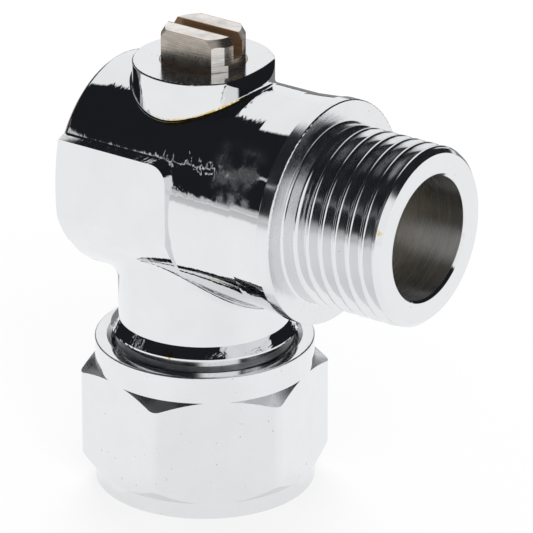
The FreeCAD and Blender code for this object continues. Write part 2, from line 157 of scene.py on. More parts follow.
class ThreadSizes(PropertyGroup):
    """Half-inch pipe thread on the outlet and on the inlet under the nut."""
    crest_radius: length("Crest radius", "Radius over the thread crests", 0.0104775)
    pitch: length("Pitch", "Distance from one crest to the next", 0.001814)
    depth: length("Depth", "Crest to root of the thread", 0.001162)
    clearance: length("Clearance", "Play between the nut thread and the inlet thread", 0.0001)
    run_out: length("Run-out", "Length over which a thread groove fades in", 0.0016)
    shoulder_reach: length("Shoulder reach", "Inlet axis to the face where the outlet thread starts", 0.0183)
    outlet_reach: length("Outlet reach", "Inlet axis to the end face of the outlet", cad_box[1].x)
    outlet_start: length("Outlet start", "Place of the outlet thread in its turn at the shoulder", 0.00069)
    outlet_plain: length("Plain shank", "Unthreaded length beside the shoulder", 0.0011)
    outlet_fade: length("Outlet fade", "Length over which the last outlet groove fades", 0.0014)
    outlet_lead: length("Outlet lead", "Chamfer at the end of the outlet thread", 0.00065)
    root_round: length("Root round", "Round between the shoulder and the outlet thread", 0.0003)
    inlet_top: length("Inlet top", "Height where the inlet thread starts under the collar", COLLAR_FOOT)
    inlet_mouth: length("Inlet mouth", "Height of the inlet mouth", 0.0088)
    inlet_plain: length("Inlet plain", "Unthreaded length under the collar", 0.0016)
    inlet_lead: length("Inlet lead", "Chamfer at the mouth of the inlet thread", 0.0005)
    nut_top: length("Nut thread top", "Height where the nut thread starts", 0.0160775)
    nut_foot: length("Nut thread foot", "Height where the nut thread ends on the cone", 0.0054775)
    facets: IntProperty(name="Facets", description="Faces around the thread", default=176, min=24)
    rows: IntProperty(name="Rows", description="Faces along one pitch on the outlet", default=24, min=6)
    hidden_rows: share("Hidden rows", "Rows on the threads under the nut, against the outlet's", 0.75)


class FinishColours(PropertyGroup):
    """Metal colours and how smooth they are."""
    plate: colour("Plate", "Bright chrome plating", (0.83, 0.84, 0.85))
    plate_roughness: share("Plate roughness", "Blur of the plated forging", 0.03)
    haze_roughness: share("Haze roughness", "Blur of the hazy patch on the barrel", 0.34)
    wave_depth: length("Wave depth", "Long waves of the forged skin under the plating", 0.00004)
    ripple_depth: length("Ripple depth", "Short ripples of the forged skin under the plating", 0.000008)
    patch_depth: length("Patch depth", "Ripples in the roughest patches of the forged skin", 0.00007)
    bore: colour("Bore", "Bare machined metal inside the outlet", (0.83, 0.825, 0.81))
    spindle: colour("Spindle", "Milled flats of the spindle bar", (0.47, 0.425, 0.37))
    spindle_top: colour("Spindle top", "Bright nickel on the spindle end and corners", (0.82, 0.79, 0.755))
    spindle_slot: colour("Spindle slot", "Stained walls of the screwdriver slot", (0.20, 0.125, 0.07))
    spindle_edge: colour("Spindle edge", "Brass that shows along the milled edges", (0.40, 0.17, 0.03))
    retainer: colour("Retainer", "Thin nickel over the brass of the seat retainer", (0.80, 0.72, 0.58))
    brass: colour("Brass", "Bare brass of the olive and inside the nut", (0.72, 0.53, 0.24))
    worn: colour("Worn plate", "Brass that shows where the plating is thin", (0.72, 0.47, 0.06))
    seat: colour("Seat", "White seat plastic", (0.80, 0.79, 0.75))
    rubber: colour("Rubber", "Black seal rubber", (0.018, 0.018, 0.02))


class StudioSettings(PropertyGroup):
    """Camera, floor and light."""
    azimuth: angle("Azimuth", "Camera direction round the valve", 35.44)
    elevation: angle("Elevation", "Camera height above the horizon", 23.47)
    distance: length("Distance", "Camera to the crossing of the two axes", 0.63766)
    across: length("Across", "Camera offset to its right", 0.00717)
    above: length("Above", "Camera offset upwards", -0.01032)
    lens: FloatProperty(name="Lens", description="Focal length in millimetres", default=375.4)
    floor: colour("Floor", "Pale floor and surroundings", (0.97, 0.97, 0.975))
    ceiling: colour("Ceiling", "Dark room above the floor", (0.012, 0.013, 0.016))
    fill: colour("Fill", "Even light from all round", (0.55, 0.55, 0.56))
    backdrop: colour("Backdrop", "What the camera sees behind the valve", (1.0, 1.0, 1.0))


# Mesh work


def read_vectors(items, attribute):
    """One row of three numbers for each item of a mesh."""
    values = np.empty(len(items) * 3, np.float32)
    items.foreach_get(attribute, values)
    return values.reshape(-1, 3).astype(float)


def cad_surface(node):
    """Points, triangles and corner normals of a CAD node, with doubled points merged."""
    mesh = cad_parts[node].data
    points = read_vectors(mesh.vertices, "co")
    normals = read_vectors(mesh.corner_normals, "vector").reshape(-1, 3, 3)
    corners = np.empty(len(mesh.loops), np.int32)
    mesh.loops.foreach_get("vertex_index", corners)
    keys = np.round(points * MERGE_STEPS).astype(np.int64)
    _, first, place = np.unique(keys, axis=0, return_index=True, return_inverse=True)
    faces = place.reshape(-1)[corners].reshape(-1, 3)
    sound = (faces != np.roll(faces, 1, axis=1)).all(1)
    return points[first], faces[sound], normals[sound]


def off_axis(points, axis):
    """Distance from the outlet axis or from the inlet axis."""
    if axis == "X":
        return np.hypot(points[:, 1], points[:, 2] - OUTLET_HEIGHT)
    return np.hypot(points[:, 0], points[:, 1])


def around(points, facing):
    """Angle about the outlet axis, or about the inlet axis seen from above or below."""
    if facing == "X":
        return np.arctan2(points[:, 2] - OUTLET_HEIGHT, points[:, 1])
    if facing == "UP":
        return np.arctan2(points[:, 1], points[:, 0])
    return np.arctan2(-points[:, 1], points[:, 0])


def ring_at(values, level):
    """Indices of the points that lie at one level."""
    found = np.nonzero(np.abs(values - level) < TOUCH)[0]
    if len(found) < 12:
        raise RuntimeError("no ring of points at %.5f" % level)
    return found


def split_off(faces, normals, cut):
    """Drops the faces whose points are all in cut, and returns the bordering points too."""
    dropped = cut[faces].all(1)
    if not dropped.any():
        raise RuntimeError("nothing to cut away")
    border = np.intersect1d(np.unique(faces[dropped]), np.unique(faces[~dropped]))
    return faces[~dropped], normals[~dropped], border


class Skin:
    """Faces from several sources that become one closed mesh."""

    def __init__(self, points, faces, normals):
        self.points = points
        self.faces = faces.tolist()
        self.normals = normals.tolist()

    def add_sleeve(self, points, faces, normals):
        """Adds the faces of a sleeve, and returns the index of its first point."""
        start = len(self.points)
        self.points = np.concatenate((self.points, points))
        self.faces.extend((start + faces).tolist())
        self.normals.extend(normals[faces].tolist())
        return start

    def zip_rings(self, outer, inner, facing, normal_of):
        """Closes the gap between two rings of points about one axis."""
        steps = []
        last = []
        for side, ring in enumerate((outer, inner)):
            order = ring[np.argsort(around(self.points[ring], facing))]
            last.append(order[-1])
            for turned, index in zip(around(self.points[order], facing), order):
                steps.append((turned, side, index))
        for _, side, index in sorted(steps):
            face = [last[0], index, last[1]]
            last[side] = index
            self.faces.append(face)
            self.normals.append([normal_of(self.points[corner]) for corner in face])

    def join_sleeve(self, border, sleeve, facing, joints, normal_of):
        """Adds a sleeve and closes the gaps between its two ends and the rings of the border.

        A joint gives the level of the border's ring, the level of the sleeve's ring, and whether
        the border's ring is the outer one.
        """
        start = self.add_sleeve(*sleeve)
        column = 0 if facing == "X" else 2
        for border_level, sleeve_level, border_outside in joints:
            fixed = border[ring_at(self.points[border, column], border_level)]
            added = start + ring_at(self.points[start:, column], sleeve_level)
            outer, inner = (fixed, added) if border_outside else (added, fixed)
            self.zip_rings(outer, inner, facing, normal_of)

    def to_object(self, name, materials, slot_of):
        """Makes the mesh with its own normals, and a material slot for each face."""
        used = np.unique(np.concatenate([np.asarray(face) for face in self.faces]))
        place = np.full(len(self.points), -1)
        place[used] = np.arange(len(used))
        faces = [place[face].tolist() for face in self.faces]
        mesh = bpy.data.meshes.new(name)
        mesh.from_pydata(self.points[used].tolist(), [], faces)
        if len(mesh.polygons) != len(faces):
            raise RuntimeError(name + " lost faces")
        for material in materials:
            mesh.materials.append(material)
        centres = np.array([self.points[face].mean(0) for face in self.faces])
        leaning = np.array([np.asarray(corners).mean(0) for corners in self.normals])
        mesh.polygons.foreach_set("material_index", slot_of(centres, leaning).astype(np.int32))
        mesh.polygons.foreach_set("use_smooth", np.ones(len(faces), bool))
        mesh.normals_split_custom_set([tuple(corner) for corners in self.normals for corner in corners])
        mesh.update()
        piece = bpy.data.objects.new(name, mesh)
        bpy.context.scene.collection.objects.link(piece)
        return piece


class Wiring:
    """Short names for nodes and links in one node tree."""

    def __init__(self, tree):
        self.tree = tree

    def node(self, kind, **settings):
        made = self.tree.nodes.new(kind)
        for key, value in settings.items():
            setattr(made, key, value)
        return made

    def link(self, source, target):
        self.tree.links.new(source, target)

    def feed(self, socket, value):
        if isinstance(value, bpy.types.NodeSocket):
            self.link(value, socket)
        else:
            socket.default_value = value

    def math(self, operation, *values):
        made = self.node("ShaderNodeMath", operation=operation)
        for socket, value in zip(made.inputs, values):
            self.feed(socket, value)
        return made.outputs[0]

    def product(self, first, *others):
        for other in others:
            first = self.math("MULTIPLY", first, other)
        return first

    def most(self, first, *others):
        for other in others:
            first = self.math("MAXIMUM", first, other)
        return first

    def hypotenuse(self, first, second):
        squared = self.math("MULTIPLY", second, second)
        return self.math("SQRT", self.math("MULTIPLY_ADD", first, first, squared))

    def distance(self, place, point):
        made = self.node("ShaderNodeVectorMath", operation="DISTANCE")
        self.link(place, made.inputs[0])
        made.inputs[1].default_value = point
        return made.outputs["Value"]

    def ramp(self, value, start, end, low=0.0, high=1.0):
        """Smooth step from low at the start to high at the end."""
        made = self.node("ShaderNodeMapRange", interpolation_type="SMOOTHSTEP")
        for name, given in (("Value", value), ("From Min", start), ("From Max", end),
                            ("To Min", low), ("To Max", high)):
            self.feed(made.inputs[name], given)
        return made.outputs["Result"]

    def fall(self, value, start, end):
        return self.ramp(value, start, end, 1.0, 0.0)

    def spread(self, value, low=0.0, high=1.0):
        """Spreads the middle values of a noise from low to high."""
        return self.ramp(value, *NOISE_MIDDLE, low, high)

    def band(self, value, start, full, fade, end):
        """1 from full to fade, and 0 before the start and after the end."""
        return self.math("MULTIPLY", self.ramp(value, start, full), self.fall(value, fade, end))

    def near(self, value, level, full, end):
        """1 where the value is within full of the level, and 0 where it is past end."""
        return self.fall(self.math("ABSOLUTE", self.math("SUBTRACT", value, level)), full, end)

    def separate(self, vector):
        made = self.node("ShaderNodeSeparateXYZ")
        self.feed(made.inputs[0], vector)
        return made.outputs

    def combine(self, *values):
        made = self.node("ShaderNodeCombineXYZ")
        for socket, value in zip(made.inputs, values):
            self.feed(socket, value)
        return made.outputs[0]

    def step(self, kind, geometry, **inputs):
        """One geometry node that takes a mesh and gives a mesh."""
        made = self.node(kind)
        self.link(geometry, made.inputs[0])
        for name, value in inputs.items():
            self.feed(made.inputs[name], value)
        return made.outputs[0]


# Thread, one tree for the outlet, the inlet and the nut

THREAD_TREE = "Cut thread"
THREAD_INPUTS = {
    "NodeSocketFloat": ("Crest Radius", "Depth", "Pitch", "Length", "Start", "Plain", "Run-out",
                        "End Fade", "Lead", "Root Round"),
    "NodeSocketInt": ("Facets", "Rows"),
    "NodeSocketBool": ("Inward",),
    "NodeSocketVector": ("Turn", "Place"),
    "NodeSocketMaterial": ("Material",),
}
FLANK_SLOPE = 1.5
FLANK_SHIFT = -0.25
FLANK_ROUND = 0.12


def thread_radius(wires, given, turn, along):
    """Crest less the groove, with a lead at the end and a round at the root."""
    travelled = wires.math("DIVIDE", wires.math("ADD", along, given["Start"]), given["Pitch"])
    phase = wires.math("FRACT", wires.math("SUBTRACT", travelled, turn))
    peak = wires.math("ABSOLUTE", wires.math("MULTIPLY_ADD", phase, 2.0, -1.0))
    flank = wires.math("MULTIPLY_ADD", peak, FLANK_SLOPE, FLANK_SHIFT)
    flank = wires.math("SMOOTH_MIN", flank, 1.0, FLANK_ROUND)
    flank = wires.math("SMOOTH_MAX", flank, 0.0, FLANK_ROUND)
    fade_in = wires.ramp(along, given["Plain"], wires.math("ADD", given["Plain"], given["Run-out"]))
    fade_start = wires.math("SUBTRACT", given["Length"], given["End Fade"])
    groove = wires.product(flank, given["Depth"], fade_in, wires.fall(along, fade_start, given["Length"]))
    lead = wires.math("SUBTRACT", along, wires.math("SUBTRACT", given["Length"], given["Lead"]))
    radius = wires.math("SUBTRACT", given["Crest Radius"], wires.math("MAXIMUM", groove, lead))
    root = given["Root Round"]
    short = wires.math("MAXIMUM", wires.math("SUBTRACT", root, along), 0.0)
    hollow = wires.math("SUBTRACT", wires.product(root, root), wires.product(short, short))
    rounding = wires.math("SUBTRACT", root, wires.math("SQRT", wires.math("MAXIMUM", hollow, 0.0)))
    return wires.math("ADD", radius, rounding)


def thread_tree():
    """Geometry Nodes tree: a sleeve with a rounded thread cut into it along +Z."""
    if THREAD_TREE in bpy.data.node_groups:
        return bpy.data.node_groups[THREAD_TREE]
    tree = bpy.data.node_groups.new(THREAD_TREE, "GeometryNodeTree")
    for kind, names in THREAD_INPUTS.items():
        for name in names:
            tree.interface.new_socket(name, in_out="INPUT", socket_type=kind)
    tree.interface.new_socket("Geometry", in_out="OUTPUT", socket_type="NodeSocketGeometry")
    wires = Wiring(tree)
    given = wires.node("NodeGroupInput").outputs
    grid = wires.node("GeometryNodeMeshGrid")
    for name, size in (("Size X", 1.0), ("Size Y", 1.0),
                       ("Vertices X", wires.math("ADD", given["Facets"], 1.0)),
                       ("Vertices Y", wires.math("ADD", given["Rows"], 1.0))):
        wires.feed(grid.inputs[name], size)
    x, y, z = wires.separate(wires.node("GeometryNodeInputPosition").outputs[0])
    turn = wires.math("ADD", x, 0.5)
    along = wires.product(wires.math("ADD", y, 0.5), given["Length"])
    radius = thread_radius(wires, given, turn, along)
    turned = wires.product(turn, 2.0 * math.pi)
    rolled = wires.combine(wires.product(radius, wires.math("COSINE", turned)),
                           wires.product(radius, wires.math("SINE", turned)), along)
    mesh = wires.step("GeometryNodeSetPosition", grid.outputs["Mesh"], Position=rolled)
    mesh = wires.step("GeometryNodeMergeByDistance", mesh, Distance=SEAM)
    mesh = wires.step("GeometryNodeFlipFaces", mesh, Selection=given["Inward"])
    mesh = wires.step("GeometryNodeTransform", mesh, Translation=given["Place"], Rotation=given["Turn"])
    mesh = wires.step("GeometryNodeRealizeInstances", mesh)
    mesh = wires.step("GeometryNodeSetMaterial", mesh, Material=given["Material"])
    wires.link(mesh, wires.node("NodeGroupOutput").inputs["Geometry"])
    return tree


def cut_thread(sizes, material, run, place, turn, fineness=1.0, **others):
    """Points, quads and smooth normals of one thread sleeve in the frame of the valve."""
    tree = thread_tree()
    inputs = dict.fromkeys(THREAD_INPUTS["NodeSocketFloat"], 0.0)
    inputs.update({
        "Crest Radius": sizes.crest_radius, "Depth": sizes.depth, "Pitch": sizes.pitch, "Length": run,
        "Run-out": sizes.run_out, "Facets": sizes.facets,
        "Rows": round(run / sizes.pitch * sizes.rows * fineness),
        "Inward": False, "Turn": turn, "Place": place, "Material": material,
    })
    inputs.update({name.replace("_", " "): value for name, value in others.items()})
    carrier = bpy.data.objects.new("thread_carrier", bpy.data.meshes.new("thread_carrier"))
    bpy.context.scene.collection.objects.link(carrier)
    modifier = carrier.modifiers.new(THREAD_TREE, "NODES")
    modifier.node_group = tree
    for item in tree.interface.items_tree:
        if item.in_out == "INPUT":
            modifier[item.identifier] = inputs[item.name]
    evaluated = carrier.evaluated_get(bpy.context.evaluated_depsgraph_get())
    mesh = bpy.data.meshes.new_from_object(evaluated)
    carrier.modifiers.remove(modifier)
    points = read_vectors(mesh.vertices, "co")
    smooth = read_vectors(mesh.vertex_normals, "vector")
    faces = np.array([tuple(polygon.vertices) for polygon in mesh.polygons])
    if faces.shape != (inputs["Facets"] * inputs["Rows"], 4):
        raise RuntimeError("the thread sleeve is not whole")
    bpy.data.objects.remove(carrier)
    bpy.data.meshes.remove(mesh)
    return points, faces, smooth


# Materials


def new_material(name, metallic=0.0):
    material = bpy.data.materials.new(name)
    material.use_nodes = True
    material.node_tree.nodes.clear()
    wires = Wiring(material.node_tree)
    shader = wires.node("ShaderNodeBsdfPrincipled")
    shader.inputs["Metallic"].default_value = metallic
    output = wires.node("ShaderNodeOutputMaterial")
    wires.link(shader.outputs["BSDF"], output.inputs["Surface"])
    return material, wires, shader


def object_place(wires, centre=FOOT, turn=UPRIGHT):
    """Object coordinates, moved to a centre and turned."""
    mapping = wires.node("ShaderNodeMapping", vector_type="TEXTURE")
    mapping.inputs["Location"].default_value = centre
    mapping.inputs["Rotation"].default_value = turn
    wires.link(wires.node("ShaderNodeTexCoord").outputs["Object"], mapping.inputs["Vector"])
    return mapping.outputs["Vector"]


def noise(wires, place, scale, detail=2.0, roughness=0.5, distortion=0.0):
    made = wires.node("ShaderNodeTexNoise")
    for name, value in (("Vector", place), ("Scale", scale), ("Detail", detail),
                        ("Roughness", roughness), ("Distortion", distortion)):
        wires.feed(made.inputs[name], value)
    return made.outputs[0]


def mix_colour(wires, factor, low, high):
    """Mix of two colours, each a colour or the socket of one."""
    made = wires.node("ShaderNodeMix", data_type="RGBA")
    wires.feed(made.inputs[0], factor)
    for socket, value in ((made.inputs[6], low), (made.inputs[7], high)):
        wires.feed(socket, value if isinstance(value, bpy.types.NodeSocket) else (*value, 1.0))
    return made.outputs[2]


def shade(base, amount):
    return tuple(channel * amount for channel in base)


def dress(wires, shader, base, blur, height, depth):
    """Links a colour, a roughness and a bumped height to a shader."""
    made = wires.node("ShaderNodeBump")
    made.inputs["Strength"].default_value = 1.0
    made.inputs["Distance"].default_value = depth
    wires.link(height, made.inputs["Height"])
    for name, value in (("Base Color", base), ("Roughness", blur), ("Normal", made.outputs["Normal"])):
        wires.link(value, shader.inputs[name])


def shader_group(name, numbers, outputs):
    """Group that takes a place and some numbers, and puts out numbers."""
    tree = bpy.data.node_groups.new(name, "ShaderNodeTree")
    tree.interface.new_socket("Place", in_out="INPUT", socket_type="NodeSocketVector")
    for label, default in numbers.items():
        socket = tree.interface.new_socket(label, in_out="INPUT", socket_type="NodeSocketFloat")
        socket.default_value = default
    for label in outputs:
        tree.interface.new_socket(label, in_out="OUTPUT", socket_type="NodeSocketFloat")
    wires = Wiring(tree)
    return tree, wires, wires.node("NodeGroupInput").outputs, wires.node("NodeGroupOutput").inputs


def place_group(wires, tree, place, **values):
    made = wires.node("ShaderNodeGroup", node_tree=tree)
    wires.link(place, made.inputs["Place"])
    for name, value in values.items():
        made.inputs[name].default_value = value
    return made.outputs


TURNED_LINES = "Turned lines"
LINE_WOBBLE = 4e-5


def turned_lines_group():
    """Fine lines left by the lathe about the local Z axis: a height and a mask."""
    if TURNED_LINES in bpy.data.node_groups:
        return bpy.data.node_groups[TURNED_LINES]
    tree, wires, given, result = shader_group(
        TURNED_LINES, {"Lines": 6000.0, "Patch": 300.0}, ("Height", "Patchiness"))
    place = given["Place"]
    x, y, z = wires.separate(place)
    wobble = noise(wires, place, scale=90.0, detail=1.0)
    outward = wires.math("MULTIPLY_ADD", wobble, LINE_WOBBLE, wires.hypotenuse(x, y))
    upward = wires.math("MULTIPLY_ADD", wobble, LINE_WOBBLE, z)
    lines = noise(wires, wires.combine(outward, upward, 0.0), given["Lines"], detail=3.0, roughness=0.65)
    wires.link(lines, result["Height"])
    wires.link(noise(wires, place, given["Patch"], detail=3.0, roughness=0.6), result["Patchiness"])
    return tree


# Places on the forged skin, from the crossing of the axes. Two numbers are the start and end of an
# edge, four are the start, full, fade and end of a band, and the worn lines have a radius and two
# distances from it. A noise has the two values between which its patches start.
ROUGH_NOISE = (0.34, 0.56)
WORN_NOISE = (0.4, 0.5)
FLECKS_NOISE = (0.5, 0.56)
ROUGH_ALONG = (-0.001, 0.004, 0.0095, 0.0115)
ROUGH_UP = (0.002, 0.006, 0.008, 0.0105)
ROUGH_FLARE = (-0.0175, -0.0165)
ROUGH_FLARE_SHARE = 0.8
PAD_FACE = (-0.013, -0.0127)
PAD_CALM = 0.1
NECK = (-0.0125, -0.0095)
NECK_CALM = 0.25
GRAIN_STRETCH = 0.4             # share of the ripples' spacing kept across the barrel
CLOSED_END_START = -0.0085
CLOSED_END_CURVE = -9.0         # crowning of the closed end
HAZE_ALONG = (0.0075, 0.0105, 0.0145, 0.0165)
HAZE_UP = (0.002, 0.005, 0.0085, 0.0105)
HAZE_SIDE = (-0.002, 0.0)
WORN_BOSS = (0.0083, 0.00012, 0.0002)
WORN_BARREL = (0.01268, 0.00016, 0.00026)
WORN_SIDE = (-0.003, -0.001)
WORN_ALONG = (-0.002, 0.001)
WORN_UP = (0.0, 0.002)
FLECKS_PLACE = (0.0024, -0.0106, -0.0179)
FLECKS_SPREAD = (0.0004, 0.001)
RIM_ALONG = (-0.01185, -0.0114)
RIM_UP = (0.005, 0.007)
RIM_RADIUS = (0.0121, 0.0124)
RIM_SHARE = 0.7


def forged_height(wires, given):
    """Long waves, short ripples, rough patches and a crowned closed end."""
    place = given["Place"]
    x, y, z = wires.separate(place)
    waves = noise(wires, place, scale=150.0)
    drawn = wires.combine(x, wires.product(y, GRAIN_STRETCH), wires.product(z, GRAIN_STRETCH))
    ripples = noise(wires, drawn, scale=1700.0, distortion=0.5)
    patches = wires.ramp(noise(wires, place, scale=210.0, detail=3.0, roughness=0.6), *ROUGH_NOISE)
    patches = wires.product(patches, wires.band(x, *ROUGH_ALONG), wires.band(z, *ROUGH_UP))
    patches = wires.most(patches, wires.ramp(z, *ROUGH_FLARE, ROUGH_FLARE_SHARE, 0.0))
    calm = wires.product(wires.ramp(y, *PAD_FACE, PAD_CALM), wires.ramp(z, *NECK, NECK_CALM))
    depth = wires.math("MULTIPLY_ADD", patches, given["Patches"], wires.product(calm, given["Ripples"]))
    height = wires.math("MULTIPLY_ADD", waves, given["Waves"], wires.product(ripples, depth))
    crown = wires.math("MINIMUM", wires.math("SUBTRACT", x, CLOSED_END_START), 0.0)
    return wires.math("MULTIPLY_ADD", wires.product(crown, crown), CLOSED_END_CURVE, height)


def forged_haze(wires, place):
    """Cloudy patch on the barrel beside the shoulder."""
    x, y, z = wires.separate(place)
    clouds = wires.spread(noise(wires, place, scale=420.0, detail=3.0, roughness=0.6))
    return wires.product(clouds, wires.band(x, *HAZE_ALONG), wires.fall(y, *HAZE_SIDE),
                         wires.band(z, *HAZE_UP))


def forged_wear(wires, place):
    """Brass at the foot of the boss, in a few flecks on the flare and on the closed end's rim."""
    x, y, z = wires.separate(place)
    off_barrel = wires.hypotenuse(y, z)
    worn = wires.product(
        wires.ramp(noise(wires, place, scale=2600.0), *WORN_NOISE),
        wires.near(wires.hypotenuse(x, y), *WORN_BOSS), wires.near(off_barrel, *WORN_BARREL),
        wires.fall(y, *WORN_SIDE), wires.ramp(x, *WORN_ALONG), wires.ramp(z, *WORN_UP))
    flecks = wires.product(wires.fall(wires.distance(place, FLECKS_PLACE), *FLECKS_SPREAD),
                           wires.ramp(noise(wires, place, scale=3600.0, detail=1.0), *FLECKS_NOISE))
    rim = wires.product(wires.ramp(x, *RIM_ALONG, RIM_SHARE, 0.0), wires.ramp(z, *RIM_UP),
                        wires.ramp(off_barrel, *RIM_RADIUS))
    return wires.most(worn, flecks, rim)


def forged_skin_group():
    """Uneven forged skin under the plating: its height, where it is hazy and where brass shows."""
    tree, wires, given, result = shader_group(
        "Forged skin", {"Waves": 0.0, "Ripples": 0.0, "Patches": 0.0},
        ("Height", "Rough Mask", "Brass Mask"))
    wires.link(forged_height(wires, given), result["Height"])
    wires.link(forged_haze(wires, given["Place"]), result["Rough Mask"])
    wires.link(forged_wear(wires, given["Place"]), result["Brass Mask"])
    return tree


def forged_plate(colours):
    """Chrome plating over the forged outside of the body."""
    material, wires, shader = new_material("forged_plate", metallic=1.0)
    place = object_place(wires, CROSSING)
    skin = place_group(wires, forged_skin_group(), place, Waves=colours.wave_depth,
                       Ripples=colours.ripple_depth, Patches=colours.patch_depth)
    tint = noise(wires, place, scale=260.0, detail=3.0)
    plate = mix_colour(wires, tint, shade(colours.plate, 0.92), colours.plate)
    plate = mix_colour(wires, skin["Brass Mask"], plate, colours.worn)
    blur = wires.ramp(skin["Rough Mask"], 0.0, 1.0, colours.plate_roughness, colours.haze_roughness)
    dress(wires, shader, plate, blur, skin["Height"], depth=1.0)
    return material


SPECK_NOISE = (0.755, 0.785)
SPECK_SHARE = 0.5
NICK_RAGGED = 0.0007
NICK_EDGE = (0.0006, 0.0008)
NICK_SHARE = 0.55


def turned_plate(name, colours, roughness, depth, centre=FOOT, turn=UPRIGHT, lines=7000.0, nick=None):
    """Chrome plating over a face cut on the lathe, with a nick in its edge if a place is given."""
    material, wires, shader = new_material(name, metallic=1.0)
    place = object_place(wires, centre, turn)
    turned = place_group(wires, turned_lines_group(), place, Lines=lines)
    plate = mix_colour(wires, turned["Patchiness"], shade(colours.plate, 0.93), colours.plate)
    specks = wires.ramp(noise(wires, place, scale=2300.0, detail=1.0), *SPECK_NOISE, 0.0, SPECK_SHARE)
    plate = mix_colour(wires, specks, plate, shade(colours.plate, 0.4))
    if nick:
        ragged = wires.math("MULTIPLY_ADD", noise(wires, place, scale=2600.0), NICK_RAGGED,
                            wires.distance(object_place(wires), nick))
        plate = mix_colour(wires, wires.ramp(ragged, *NICK_EDGE, NICK_SHARE, 0.0), plate, colours.worn)
    blur = wires.spread(turned["Patchiness"], roughness, roughness * 2.0)
    dress(wires, shader, plate, blur, turned["Height"], depth)
    return material


# Painted highlight: a lighter, less metallic stretch along one side of the outlet bore, from the crossing of
# the axes
HIGHLIGHT_BAND_UP = (-0.0062, -0.0034, -0.0032, -0.0002)
HIGHLIGHT_BAND_SIDE = (0.0, 0.002)
HIGHLIGHT_BAND_ALONG = (0.008, 0.03)
HIGHLIGHT_BAND_DEEP_SHARE = 0.1
HIGHLIGHT_BAND_METALLIC = 0.74


def bore_metal(colours):
    """Bare machined metal in the outlet and the inlet, with a painted highlight along one side of the outlet
    bore.
    """
    material, wires, shader = new_material("bore_metal")
    place = object_place(wires, CROSSING, ALONG_OUTLET)
    turned = place_group(wires, turned_lines_group(), place, Lines=6000.0, Patch=420.0)
    x, y, z = wires.separate(object_place(wires, CROSSING))
    # Painted highlight: less metal and more of the pale base colour along one side of the bore
    painted_highlight = wires.product(wires.band(z, *HIGHLIGHT_BAND_UP), wires.ramp(y, *HIGHLIGHT_BAND_SIDE),
                         wires.ramp(x, *HIGHLIGHT_BAND_ALONG, HIGHLIGHT_BAND_DEEP_SHARE))
    wires.link(wires.ramp(painted_highlight, 0.0, 1.0, 1.0, HIGHLIGHT_BAND_METALLIC), shader.inputs["Metallic"])
    metal = mix_colour(wires, turned["Patchiness"], shade(colours.bore, 0.75), shade(colours.bore, 1.15))
    blur = wires.ramp(turned["Height"], 0.2, 0.8, low=0.2, high=0.3)
    dress(wires, shader, metal, blur, turned["Height"], depth=2e-5)
    return material


CUTTER_STRETCH = 0.04           # share of the cutter lines' spacing kept along the flats
EDGE_RAGGED = 8e-5
SLOT_EDGE = (SCREW_SLOT_HALF + 0.00015, SCREW_SLOT_HALF + 0.00025)
FLAT_EDGE = (LONG_FLAT - 0.0001, LONG_FLAT)
TOP_EDGE = (SPINDLE_TOP - 0.0001, SPINDLE_TOP - 0.00005)


def milled_metal(name, base, metallic=1.0, edge=None):
    """Satin metal of the spindle with cutter lines, and brass along its top edges if one is given."""
    material, wires, shader = new_material(name, metallic)
    place = object_place(wires)
    x, y, z = wires.separate(place)
    drawn = wires.combine(wires.product(x, CUTTER_STRETCH), wires.product(y, CUTTER_STRETCH), z)
    lines = noise(wires, drawn, scale=9000.0, detail=3.0, roughness=0.6)
    metal = mix_colour(wires, wires.spread(lines), shade(base, 0.78), shade(base, 1.12))
    if edge:
        side = wires.math("MULTIPLY_ADD", noise(wires, place, scale=1500.0), EDGE_RAGGED,
                          wires.math("ABSOLUTE", y))
        worn = wires.most(wires.fall(side, *SLOT_EDGE), wires.ramp(side, *FLAT_EDGE))
        metal = mix_colour(wires, wires.product(worn, wires.ramp(z, *TOP_EDGE)), metal, edge)
    blur = wires.spread(noise(wires, place, scale=700.0, detail=3.0), low=0.24, high=0.36)
    dress(wires, shader, metal, blur, lines, depth=8e-6)
    return material


def plain_metal(name, base, roughness, lines=5000.0, metallic=1.0):
    """Bare turned metal about the spindle and inlet axis."""
    material, wires, shader = new_material(name, metallic)
    turned = place_group(wires, turned_lines_group(), object_place(wires), Lines=lines)
    metal = mix_colour(wires, turned["Patchiness"], shade(base, 0.85), base)
    blur = wires.spread(turned["Patchiness"], roughness, roughness * 1.6)
    dress(wires, shader, metal, blur, turned["Height"], depth=2e-6)
    return material


def moulded(name, base, roughness):
    """Plastic or rubber with a fine uneven skin."""
    material, wires, shader = new_material(name)
    place = object_place(wires)
    grain = noise(wires, place, scale=2600.0, detail=3.0)
    tint = mix_colour(wires, noise(wires, place, scale=300.0), shade(base, 0.9), base)
    blur = wires.spread(grain, roughness, roughness * 1.3)
    dress(wires, shader, tint, blur, grain, depth=5e-6)
    return material


def repaint(material, *nodes):
    for node in nodes:
        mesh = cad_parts[node].data
        mesh.materials.clear()
        mesh.materials.append(material)


# Body


def draft_pad(points):
    """Leans the side wall of the pad as on a forging: its foot on the barrel moves to the outlet."""
    x = points[:, 0]
    foot = np.abs(off_axis(points, "X") - BARREL_RADIUS) < TOUCH
    foot &= (points[:, 1] < 0.0) & (points[:, 2] < OUTLET_HEIGHT + PAD_RISE - TOUCH)
    foot &= (x > PAD_REACH - PAD_CORNER) & (x < PAD_REACH + TOUCH)
    points[foot, 0] += PAD_DRAFT * np.clip((x[foot] - PAD_REACH) / PAD_CORNER + 1.0, 0.0, 1.0)


